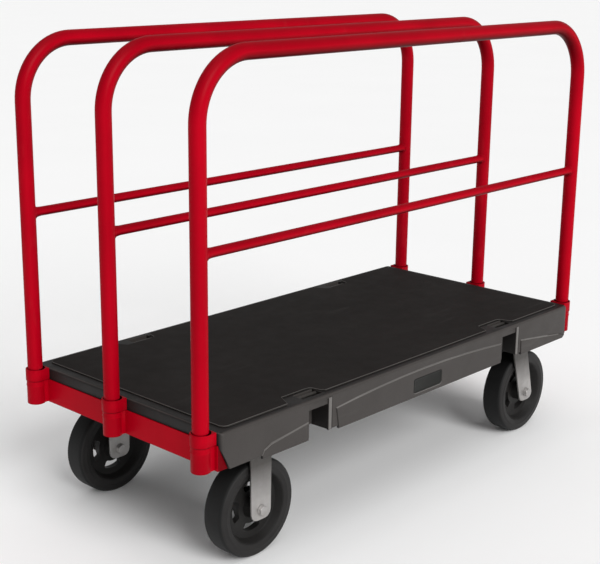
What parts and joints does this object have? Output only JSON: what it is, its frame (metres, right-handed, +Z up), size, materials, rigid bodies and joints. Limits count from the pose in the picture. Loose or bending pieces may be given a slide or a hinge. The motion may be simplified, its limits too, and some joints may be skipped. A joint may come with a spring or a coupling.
{
  "type": "panel truck",
  "caption": "Platform truck with a dark moulded deck, red lift-out tube rails in end sockets, and rigid and swivel casters with spoked wheels.",
  "frame": {"origin": "on the floor under the middle of the deck", "axes": "+X along the deck towards the swivel casters, +Y across the deck, +Z up"},
  "size_m": [1.2806, 0.574, 1.0036],
  "materials": {
    "red_paint": "glossy powder coat",
    "deck_plastic": "textured moulded structural foam",
    "top_panel_plastic": "finely textured",
    "zinc_steel": "zinc plated",
    "plain_steel": "plain, lightly oiled",
    "tyre_rubber": "moulded rubber",
    "hub_plastic": "moulded black core"
  },
  "bodies": {
    "cart_body": {"deck_shell": "deck_plastic", "top_panel": "top_panel_plastic", "name_plate_near": "top_panel_plastic", "name_plate_far": "top_panel_plastic", "end_bar_left": "red_paint", "tie_rod_left_near": "plain_steel", "bar_nut_left_near": "zinc_steel", "tie_rod_left_far": "plain_steel", "bar_nut_left_far": "zinc_steel", "socket_left_near": "red_paint", "socket_left_mid": "red_paint", "socket_left_far": "red_paint", "end_bar_right": "red_paint", "tie_rod_right_near": "plain_steel", "bar_nut_right_near": "zinc_steel", "tie_rod_right_far": "plain_steel", "bar_nut_right_far": "zinc_steel", "socket_right_near": "red_paint", "socket_right_mid": "red_paint", "socket_right_far": "red_paint", "rigid_fork_near": "zinc_steel", "swivel_plate_near": "zinc_steel", "kingpin_near": "zinc_steel", "kingpin_nut_near": "zinc_steel", "swivel_race_near": "plain_steel", "axle_bolt_rigid_near": "zinc_steel", "axle_nut_rigid_near": "zinc_steel", "rigid_fork_far": "zinc_steel", "swivel_plate_far": "zinc_steel", "kingpin_far": "zinc_steel", "kingpin_nut_far": "zinc_steel", "swivel_race_far": "plain_steel", "axle_bolt_rigid_far": "zinc_steel", "axle_nut_rigid_far": "zinc_steel"},
    "rail_near_body": {"rail_near": "red_paint", "cross_bar_near": "red_paint"},
    "rail_mid_body": {"rail_mid": "red_paint", "cross_bar_mid": "red_paint"},
    "rail_far_body": {"rail_far": "red_paint", "cross_bar_far": "red_paint"},
    "wheel_rigid_near": {"tyre_rigid_near": "tyre_rubber", "hub_rigid_near": "hub_plastic", "bearing_rigid_near": "plain_steel"},
    "swivel_near": {"swivel_fork_near": "zinc_steel", "axle_bolt_swivel_near": "zinc_steel", "axle_nut_swivel_near": "zinc_steel"},
    "wheel_swivel_near": {"tyre_swivel_near": "tyre_rubber", "hub_swivel_near": "hub_plastic", "bearing_swivel_near": "plain_steel"},
    "wheel_rigid_far": {"tyre_rigid_far": "tyre_rubber", "hub_rigid_far": "hub_plastic", "bearing_rigid_far": "plain_steel"},
    "swivel_far": {"swivel_fork_far": "zinc_steel", "axle_bolt_swivel_far": "zinc_steel", "axle_nut_swivel_far": "zinc_steel"},
    "wheel_swivel_far": {"tyre_swivel_far": "tyre_rubber", "hub_swivel_far": "hub_plastic", "bearing_swivel_far": "plain_steel"}
  },
  "joints": [
    {"name": "rail_near_lift", "type": "slide", "parent": "cart_body", "child": "rail_near_body", "axis": [0, 0, 1], "range_m": [0, 0.1]},
    {"name": "rail_mid_lift", "type": "slide", "parent": "cart_body", "child": "rail_mid_body", "axis": [0, 0, 1], "range_m": [0, 0.1]},
    {"name": "rail_far_lift", "type": "slide", "parent": "cart_body", "child": "rail_far_body", "axis": [0, 0, 1], "range_m": [0, 0.1]},
    {"name": "wheel_rigid_near_spin", "type": "hinge", "parent": "cart_body", "child": "wheel_rigid_near", "pos_m": [-0.457, -0.2168, 0.1016], "axis": [0, 1, 0], "continuous": true},
    {"name": "swivel_near_turn", "type": "hinge", "parent": "cart_body", "child": "swivel_near", "pos_m": [0.445, -0.2168, 0.228], "axis": [0, 0, 1], "continuous": true},
    {"name": "wheel_swivel_near_spin", "type": "hinge", "parent": "swivel_near", "child": "wheel_swivel_near", "pos_m": [0.482, -0.2168, 0.1016], "axis": [0, 1, 0], "continuous": true},
    {"name": "wheel_rigid_far_spin", "type": "hinge", "parent": "cart_body", "child": "wheel_rigid_far", "pos_m": [-0.457, 0.2168, 0.1016], "axis": [0, 1, 0], "continuous": true},
    {"name": "swivel_far_turn", "type": "hinge", "parent": "cart_body", "child": "swivel_far", "pos_m": [0.445, 0.2168, 0.228], "axis": [0, 0, 1], "continuous": true},
    {"name": "wheel_swivel_far_spin", "type": "hinge", "parent": "swivel_far", "child": "wheel_swivel_far", "pos_m": [0.482, 0.2168, 0.1016], "axis": [0, 1, 0], "continuous": true}
  ]
}
